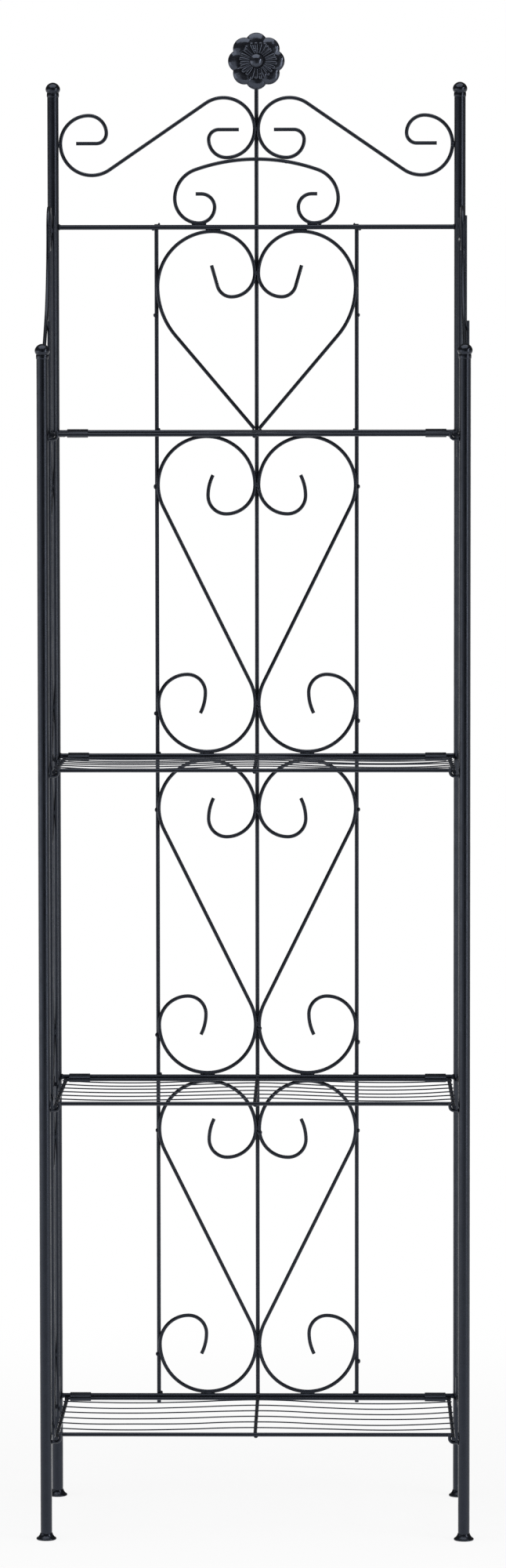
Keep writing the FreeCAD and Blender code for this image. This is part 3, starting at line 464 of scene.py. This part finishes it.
def petal_lay(number):
    """Hand pressing leaves each petal a little higher or lower and tipped in or out."""
    chance = random.Random(40 + number)
    tip = Matrix.Rotation(chance.uniform(-0.05, 0.05), 4, "Y")
    return Matrix.Translation((0, 0, chance.uniform(-0.0002, 0.0003))) @ tip


petals = ring_of(petal, "petals", PETAL_COUNT, 0.0, petal_lay)
PLATE_OUTLINE = [(0, 0), (26.0, 0), (26.2, 0.4), (25.8, 0.9), (22.0, 1.5), (0, 1.6)]
plate = turned("plate", PLATE_OUTLINE, 48)
petals = join_up([petals, plate], "rosette_petal_sheet")
petals.data.transform(Matrix.Translation(ROSETTE) @ TO_FRONT)
fit(petals, rosette_coat, "back_panel", "rosette_coat", "rosette_petals")

# one pleat: a long drop, narrow at the button and full at its blunt outer end
DISC_DEPTH = 0.0058
DISC_ASIDE = 0.0018
PLEAT_LENGTH = 0.0158
PLEAT_WIDTH = 0.0064
PLEAT_HEIGHT = 0.0054
PLEAT_TAPER = (0.36, 0.66, 0.92, 1.0)
PLEAT_COUNT = 24
PLEAT_REACH = 0.0160  # from the disc's middle to a pleat's middle
PLEAT_SINK = 0.0004  # how far a pleat goes on below the disc's face
bpy.ops.mesh.primitive_cube_add(size=1.0, location=(0, 0, 0))
pleat = bpy.context.object
bpy.ops.transform.resize(value=(PLEAT_LENGTH, PLEAT_WIDTH, PLEAT_HEIGHT))
bpy.ops.object.transform_apply(location=True, rotation=True, scale=True)
bpy.ops.object.mode_set(mode="EDIT")
bpy.ops.mesh.select_mode(type="EDGE")
bpy.ops.mesh.select_all(action="DESELECT")
bpy.ops.object.mode_set(mode="OBJECT")
for edge in pleat.data.edges:
    ends = [pleat.data.vertices[index].co.x for index in edge.vertices]
    edge.select = abs(ends[0] - ends[1]) > 0.01
bpy.ops.object.mode_set(mode="EDIT")
bpy.ops.mesh.subdivide(number_cuts=2)
bpy.ops.mesh.select_mode(type="VERT")
for step, narrow in enumerate(PLEAT_TAPER):
    bpy.ops.mesh.select_all(action="DESELECT")
    bpy.ops.object.mode_set(mode="OBJECT")
    for point in pleat.data.vertices:
        point.select = round((point.co.x / PLEAT_LENGTH + 0.5) * 3) == step
    bpy.ops.object.mode_set(mode="EDIT")
    bpy.ops.transform.resize(value=(1.0, narrow, 0.5 + narrow / 2))
bpy.ops.object.mode_set(mode="OBJECT")
smoothed(pleat, 3)
keep_front(pleat, -PLEAT_SINK)
pleat.data.transform(Matrix.Translation((PLEAT_REACH, 0, 0)))
bpy.ops.object.shade_smooth_by_angle(angle=radians(40))


def pleat_lay(number):
    """Pleats differ in length and lean, as they do when a thin disc is pressed in one stroke."""
    chance = random.Random(70 + number)
    long = Matrix.Diagonal((chance.uniform(0.95, 1.045), chance.uniform(0.90, 1.05), 1, 1))
    lean = Matrix.Rotation(chance.uniform(-0.05, 0.05), 4, "Z")
    return lean @ long


pleats = ring_of(pleat, "pleats", PLEAT_COUNT, pi / PLEAT_COUNT, pleat_lay)
DISC_OUTLINE = [(0, -0.8), (19.5, -0.8), (20.6, -0.6), (20.9, -0.2), (20.6, 0.2), (19.8, 0.3),
                (16.0, 0.2), (0, 0.2)]
disc = turned("disc", DISC_OUTLINE, 48)
pleats = join_up([pleats, disc], "rosette_pleated_disc")
pleats.data.transform(Matrix.Translation(ROSETTE) @ TO_FRONT
                      @ Matrix.Translation((DISC_ASIDE, 0, DISC_DEPTH)))
fit(pleats, rosette_coat, "back_panel", "rosette_coat", "rosette_disc")

BUTTON_DEPTH = 0.0062
BUTTON_OUTLINE = [
    (0.0, -6.0), (2.8, -6.0), (3.0, -5.6), (3.0, -0.2), (8.0, -0.2), (8.9, 0.1), (9.05, 0.6),
    (8.8, 1.4), (8.1, 2.8), (6.9, 4.1), (5.2, 5.2), (3.2, 5.9), (1.4, 6.2), (0.0, 6.3),
]
button = turned("rosette_rivet", BUTTON_OUTLINE, 40)
smoothed(button, 1)
button.data.transform(Matrix.Translation(ROSETTE) @ TO_FRONT
                      @ Matrix.Translation((0, 0, BUTTON_DEPTH)))
fit(button, rosette_coat, "back_panel", "rosette_coat", "rosette_button")


# ---- Side frames ---------------------------------------------------------------------------------
# Each side is one welding: a front post, a hinge rod that turns in sleeves on the back post, cross
# ties, two upright rods, three scrolls and the sweep. The sleeves are short pieces of pipe.

coat_nodes(rod_coat, "side_hinge_sleeves")
for side in ("left", "right"):
    coat_nodes(rod_coat, *[f"side_{side}_{part}" for part in (
        "hinge_rod", "rods", "ties", "scrolls", "sweep", "hooks")])

FRONT_TIE_Y = -0.1329  # a tie's front end, at the post
HINGE_TIE_Y = 0.1262  # its back end, at the hinge rod
REAR_ROD_Y = 0.0562
FRONT_ROD_Y = -0.06755
REAR_TOUCH_Y = 0.0553  # scrolls touch the upright rods from inside
FRONT_TOUCH_Y = -0.0666
TIE_TOUCH_Y = -0.00570
TIE_RADIUS = 0.0025
TOP_TIE_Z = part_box("side_left_ties")[1].z - TIE_RADIUS
SWEEP_TOUCH_Z = 1.583
SWEEP_END_Z = 1.4102
HOOK_FALL = 0.0081  # from the rails' height down to the hooks' stems
POST_TIE_DROP = (3.4, 1.6, 3.4)
HINGE_TIE_DROP = (3.2, 1.7, 3.2)
ROD_TIE_DROP = (1.5, 2.9, 3.1)
TOP_TIE_DROP = (2.0, 2.8, 3.0)
SCROLL_ROD_DROP = (1.9, 1.6, 3.6)
SCROLL_TIE_DROP = (1.7, 4.0, 1.4)
SWEEP_ROD_DROP = (1.9, 1.6, 3.4)
SWEEP_END_DROP = (2.6, 1.4, 3.4)
HOOK_DROP = (1.3, 2.7, 2.7)

for name, side in (("left", -1), ("right", 1)):
    x = side * POST_X
    side_spots = []
    for z in RAILS:
        side_spots += [
            ((x, FRONT_TIE_Y, z), POST_TIE_DROP),
            ((x, HINGE_TIE_Y, z), HINGE_TIE_DROP),
            ((x + TIE_RADIUS, REAR_ROD_Y, z), ROD_TIE_DROP),
            ((x + TIE_RADIUS, FRONT_ROD_Y, z), ROD_TIE_DROP),
        ]
    side_spots += [
        ((x, HINGE_TIE_Y, TOP_TIE_Z), HINGE_TIE_DROP),
        ((x + 0.0020, REAR_ROD_Y + 0.0008, TOP_TIE_Z), TOP_TIE_DROP),
    ]
    for low, high in zip(RAILS, RAILS[1:]):
        for tie, toward in ((low, 1), (high, -1)):
            z = tie + toward * LOBE_RISE
            side_spots += [
                ((x + 0.0026, REAR_TOUCH_Y, z), SCROLL_ROD_DROP),
                ((x + 0.0026, FRONT_TOUCH_Y, z), SCROLL_ROD_DROP),
                ((x + 0.0003, TIE_TOUCH_Y, tie + toward * 0.0028), SCROLL_TIE_DROP),
            ]
    side_spots += [
        ((x + 0.0026, REAR_TOUCH_Y, SWEEP_TOUCH_Z), SWEEP_ROD_DROP),
        ((x + 0.0003, FRONT_TIE_Y + 0.0003, SWEEP_END_Z), SWEEP_END_DROP),
    ]
    hook_x = x - side * (POST_RADIUS + 0.0002)
    side_spots += [((hook_x, -POST_Y, z - HOOK_FALL), HOOK_DROP) for z in RAILS]
    weld_group(f"side_{name}_welds", f"side_frame_{name}", side_spots)

SLEEVE_LENGTH = 0.022
SLEEVE_INSET = 0.002  # from a sleeve's end to the weld beside it
SLEEVE_DROP = (3.2, 1.5, 2.4)
lowest, highest = (corner.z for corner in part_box("side_hinge_sleeves"))
sleeve_spots = []
for side in (-1, 1):
    for start in (lowest, highest - SLEEVE_LENGTH):
        for z in (start + SLEEVE_INSET, start + SLEEVE_LENGTH - SLEEVE_INSET):
            sleeve_spots.append(((side * POST_X, POST_Y - POST_RADIUS, z), SLEEVE_DROP))
weld_group("sleeve_welds", "back_panel", sleeve_spots)


# ---- Shelves -------------------------------------------------------------------------------------
# Each shelf is a frame of 4.8 mm bars on a thinner back bar, with a centre bar that climbs towards
# the back. Six thin wires cross it, bent over the centre bar and slack between the bars. Two bands
# of strip steel hold its back bar to the rail.

# The wires have the rods' near-black coat; their shade, nearly three times the rods', is partly
# painted sheen that stands in for the overhead light they reflect.
WIRE_SHADE_AND_PAINTED_SHEEN = (0.0120, 0.0126, 0.0152)
wire_coat = powder_coat("wire powder coat and painted sheen", WIRE_SHADE_AND_PAINTED_SHEEN, 0.27, 1200.0, 0.00006)
WIRE_COUNT = 6
WIRE_RADIUS = 0.0008
SIDE_BAR_X = 0.240
BAR_RADIUS = 0.0024
CENTRE_BAR_RADIUS = 0.0023
BAR_DROP = 0.0034
HINGE_BAR_Y = 0.1354
FRONT_BAR_Y = -0.120
FRONT_BAR_RISE = 0.0009
CENTRE_BAR_RISE = 0.0026
FRONT_WIRE_GAP = 0.0296  # from the front bar to the first wire
WIRE_PITCH = (HINGE_BAR_Y - FRONT_WIRE_GAP - FRONT_BAR_Y) / WIRE_COUNT
CENTRE_SLOPE = (CENTRE_BAR_RISE - FRONT_BAR_RISE) / (HINGE_BAR_Y - FRONT_BAR_Y)
WIRE_SAG = (0.0014, 0.0032)  # least and most slack of a wire between two bars
WIRE_DRIFT = 0.0022  # how far use has bent a wire forwards or back
WIRE_OVERHANG = 0.003
WIRE_SINK = 0.0006  # how far below a wire's middle its welds sit

WIRE_END_DROP = (1.7, 1.5, 0.8)
WIRE_MIDDLE_DROP = (1.6, 1.5, 0.8)
FRONT_CORNER_DROP = (1.3, 3.0, 2.6)
BACK_CORNER_DROP = (2.9, 1.3, 2.5)
CENTRE_FRONT_DROP = (3.0, 2.6, 2.5)
CENTRE_FRONT_NUB = (2.4, 1.9, 1.7)
CENTRE_BACK_DROP = (2.6, 1.6, 1.6)


def wire_rise(y):
    """How much higher a wire lies over the centre bar than over the side bars."""
    return FRONT_BAR_RISE + CENTRE_BAR_RADIUS - BAR_RADIUS + CENTRE_SLOPE * (y - FRONT_BAR_Y)


def slack_wire(name, y, level, chance):
    """A round wire through points that sag between the bars, drawn as a curve and made a mesh."""
    rise = wire_rise(y)
    left_sag = chance.uniform(*WIRE_SAG)
    right_sag = chance.uniform(*WIRE_SAG)
    drift = [chance.uniform(-WIRE_DRIFT, WIRE_DRIFT) for _ in range(6)]
    end = SIDE_BAR_X + WIRE_OVERHANG
    line = [
        (-end, y, level),
        (-SIDE_BAR_X, y, level),
        (-0.205, y + drift[0] / 2, level - left_sag * 0.7),
        (-0.150, y + drift[1], level - left_sag),
        (-0.085, y + drift[2], level + rise * 0.15 - left_sag / 2),
        (-0.030, y, level + rise * 0.72),
        (0.0, y, level + rise),
        (0.030, y, level + rise * 0.72),
        (0.085, y + drift[3], level + rise * 0.15 - right_sag / 2),
        (0.150, y + drift[4], level - right_sag),
        (0.205, y + drift[5] / 2, level - right_sag * 0.7),
        (SIDE_BAR_X, y, level),
        (end, y, level),
    ]
    bpy.ops.curve.primitive_bezier_curve_add(location=(0, 0, 0))
    wire = bpy.context.object
    wire.name = name
    run = wire.data.splines[0]
    run.bezier_points.add(len(line) - 2)
    for knot, place in zip(run.bezier_points, line):
        knot.co = place
        knot.handle_left_type = knot.handle_right_type = "AUTO"
    wire.data.bevel_depth = WIRE_RADIUS
    wire.data.bevel_resolution = 2
    wire.data.resolution_u = 5
    wire.data.use_fill_caps = True
    bpy.ops.object.convert(target="MESH")
    bpy.ops.object.shade_smooth_by_angle(angle=radians(50))
    return bpy.context.object


for number, rail in enumerate(RAILS, start=1):
    body = f"shelf_{number}"
    coat_nodes(rod_coat, f"{body}_frame", f"{body}_straps")
    bar_z = rail - BAR_DROP
    level = bar_z + BAR_RADIUS + WIRE_RADIUS
    chance = random.Random(100 + number)
    spots = []
    wires = []
    for count in range(1, WIRE_COUNT + 1):
        y = HINGE_BAR_Y - WIRE_PITCH * (WIRE_COUNT + 1 - count)
        wires.append(slack_wire(f"{body}_wire_{count}", y, level, chance))
        for side in (-1, 1):
            spots.append(((side * SIDE_BAR_X, y, level - WIRE_SINK), WIRE_END_DROP))
        spots.append(((0, y, level + wire_rise(y) - WIRE_SINK), WIRE_MIDDLE_DROP))
    slack_wires = join_up(wires, f"{body}_slack_wires")
    fit(slack_wires, wire_coat, body, "wire_coat", f"{body}_wires")
    for side in (-1, 1):
        corner_x = side * (SIDE_BAR_X - BAR_RADIUS + 0.0001)
        spots += [
            ((corner_x, FRONT_BAR_Y, bar_z + 0.0008), FRONT_CORNER_DROP),
            ((side * SIDE_BAR_X, HINGE_BAR_Y - 0.0018, bar_z), BACK_CORNER_DROP),
        ]
    # the centre bar's ends, and a nub under its front end
    spots += [
        ((0, FRONT_BAR_Y + 0.0010, bar_z + 0.0002), CENTRE_FRONT_DROP),
        ((0.0006, FRONT_BAR_Y - 0.0002, bar_z - 0.0014), CENTRE_FRONT_NUB),
        ((0, HINGE_BAR_Y - 0.0016, rail - 0.0018), CENTRE_BACK_DROP),
    ]
    weld_group(f"{body}_welds", body, spots)
bpy.data.objects.remove(drop)


# ---- Floor, light and camera ---------------------------------------------------------------------
# A pale studio floor that fades to white, a white surround, and four soft boxes: a tall narrow one
# at the front right, a small one high at the right, a wide one overhead and a low one at the left.

FLOOR_SIZE = 6.4
FLOOR_SHADE = 0.92
FLOOR_FADE = (0.30, 1.6)  # from and to where the floor fades to white, from its middle
FLOOR_GLOW = 0.84  # how white it is seen in the middle already
WALLS = [  # degrees round from the front, and how bright the surround is there for reflections
    (-180, 0.90), (-60, 0.85), (-22, 0.80), (-6, 0.06), (22, 0.06), (40, 0.70), (180, 0.75),
]
WALL_TOP = (0.010, 0.035)  # how steep a reflection points where the walls end
CEILING_GLOW = 0.08  # how bright the surround is above them
SURROUND_LIGHT = 0.42  # how much light it gives


def worked(tree, operation, first, second):
    """What a math node makes of two sockets, or of a socket and a number."""
    result = tree.nodes.new("ShaderNodeMath")
    result.operation = operation
    tree.links.new(first, result.inputs[0])
    if isinstance(second, float):
        result.inputs[1].default_value = second
    else:
        tree.links.new(second, result.inputs[1])
    return result.outputs["Value"]


def mixed(tree, share, first, second):
    """Two shaders mixed, by the share that the second has."""
    blend = tree.nodes.new("ShaderNodeMixShader")
    tree.links.new(share, blend.inputs["Fac"])
    tree.links.new(first, blend.inputs[1])
    tree.links.new(second, blend.inputs[2])
    return blend.outputs["Shader"]


def floor_paper():
    """Pale paper that the camera and reflections see as white, more so the farther out it is."""
    paper = bpy.data.materials.new("floor paper")
    paper.use_nodes = True
    tree = paper.node_tree
    shader = tree.nodes["Principled BSDF"]
    shader.inputs["Base Color"].default_value = (FLOOR_SHADE, FLOOR_SHADE, FLOOR_SHADE, 1)
    shader.inputs["Roughness"].default_value = 0.9
    shader.inputs["Specular IOR Level"].default_value = 0.1
    place = tree.nodes.new("ShaderNodeTexCoord")
    distance = tree.nodes.new("ShaderNodeVectorMath")
    distance.operation = "LENGTH"
    tree.links.new(place.outputs["Object"], distance.inputs[0])
    fade = spread(tree, distance.outputs["Value"], FLOOR_FADE, (FLOOR_GLOW, 1.0), smooth=True)
    sight = tree.nodes.new("ShaderNodeLightPath")
    seen = worked(tree, "MAXIMUM", sight.outputs["Is Camera Ray"], sight.outputs["Is Glossy Ray"])
    white = tree.nodes.new("ShaderNodeEmission")
    blend = mixed(tree, worked(tree, "MULTIPLY", seen, fade),
                  shader.outputs["BSDF"], white.outputs["Emission"])
    tree.links.new(blend, tree.nodes["Material Output"].inputs["Surface"])
    return paper


def studio_surround():
    """White to the camera, soft white as light, and walls of several greys in reflections."""
    surround = bpy.data.worlds.new("surround")
    surround.use_nodes = True
    tree = surround.node_tree
    tree.nodes.clear()
    direction = tree.nodes.new("ShaderNodeTexCoord")
    parts = tree.nodes.new("ShaderNodeSeparateXYZ")
    tree.links.new(direction.outputs["Generated"], parts.inputs["Vector"])
    frontwards = worked(tree, "MULTIPLY", parts.outputs["Y"], -1.0)
    around = worked(tree, "ARCTAN2", parts.outputs["X"], frontwards)
    walls = tree.nodes.new("ShaderNodeValToRGB")
    for degrees_round, bright in WALLS[1:-1]:
        walls.color_ramp.elements.new(0.5 + degrees_round / 360)
    for knot, (degrees_round, bright) in zip(walls.color_ramp.elements, WALLS):
        knot.position = 0.5 + degrees_round / 360
        knot.color = (bright, bright, bright, 1)
    tree.links.new(spread(tree, around, (-pi, pi), (0.0, 1.0)), walls.inputs["Fac"])
    mirrored, soft, plain = [tree.nodes.new("ShaderNodeBackground") for _ in range(3)]
    tree.links.new(walls.outputs["Color"], mirrored.inputs["Color"])
    dim_above = spread(tree, parts.outputs["Z"], WALL_TOP, (1.0, CEILING_GLOW), smooth=True)
    tree.links.new(dim_above, mirrored.inputs["Strength"])
    for light in (plain, soft):
        light.inputs["Color"].default_value = (1, 1, 1, 1)
    soft.inputs["Strength"].default_value = SURROUND_LIGHT
    sight = tree.nodes.new("ShaderNodeLightPath")
    lit = mixed(tree, sight.outputs["Is Glossy Ray"],
                soft.outputs["Background"], mirrored.outputs["Background"])
    straight = worked(tree, "MAXIMUM",
                      sight.outputs["Is Camera Ray"], sight.outputs["Is Transmission Ray"])
    world_out = tree.nodes.new("ShaderNodeOutputWorld")
    tree.links.new(mixed(tree, straight, lit, plain.outputs["Background"]),
                   world_out.inputs["Surface"])
    return surround


bpy.ops.mesh.primitive_plane_add(size=FLOOR_SIZE, location=(0, 0, 0))
floor = bpy.context.object
floor.name = "floor"
floor.data.materials.append(floor_paper())
bpy.context.scene.world = studio_surround()


def soft_box(name, place, aim, width, height, power):
    """A soft studio lamp at its place, turned towards its aim."""
    bpy.ops.object.light_add(type="AREA", location=place)
    lamp = bpy.context.object
    lamp.name = name
    lamp.data.shape = "RECTANGLE"
    lamp.data.size = width
    lamp.data.size_y = height
    lamp.data.energy = power
    lamp.rotation_euler = (Vector(aim) - Vector(place)).to_track_quat("-Z", "Y").to_euler()


soft_box("box at the front right", (2.76, -2.16, 1.3), (0, 0, 1.1), 0.9, 2.6, 26)
soft_box("small box high at the right", (3.0, -1.45, 2.75), (0, 0, 1.4), 0.32, 0.32, 9)
soft_box("wide box overhead", (-0.4, -1.3, 4.3), (-0.4, -1.0, 0), 4.6, 3.8, 100)
soft_box("wide box at the left", (-3.4, -1.2, 0.65), (0, 0, 0.65), 3.0, 2.1, 21)

# the camera, as solved from the photo: lens in mm for 36 mm of film, place, and turns in degrees
CAMERA_LENS = 128.64
CAMERA_PLACE = (0.0916, -6.842, 1.3413)
CAMERA_TURN = 0.794
CAMERA_TILT = -3.636
CAMERA_ROLL = -0.07
camera = bpy.data.objects.new("camera", bpy.data.cameras.new("camera"))
bpy.context.scene.collection.objects.link(camera)
camera.data.sensor_width = 36.0
camera.data.lens = CAMERA_LENS
camera.data.clip_end = 100
camera.location = CAMERA_PLACE
heading = Matrix.Rotation(radians(CAMERA_TURN), 3, "Z")
level = Matrix.Rotation(radians(90 + CAMERA_TILT), 3, "X")
roll = Matrix.Rotation(radians(CAMERA_ROLL), 3, "Z")
camera.rotation_euler = (heading @ level @ roll).to_euler()
bpy.context.scene.camera = camera
bpy.context.scene.view_settings.view_transform = "Standard"
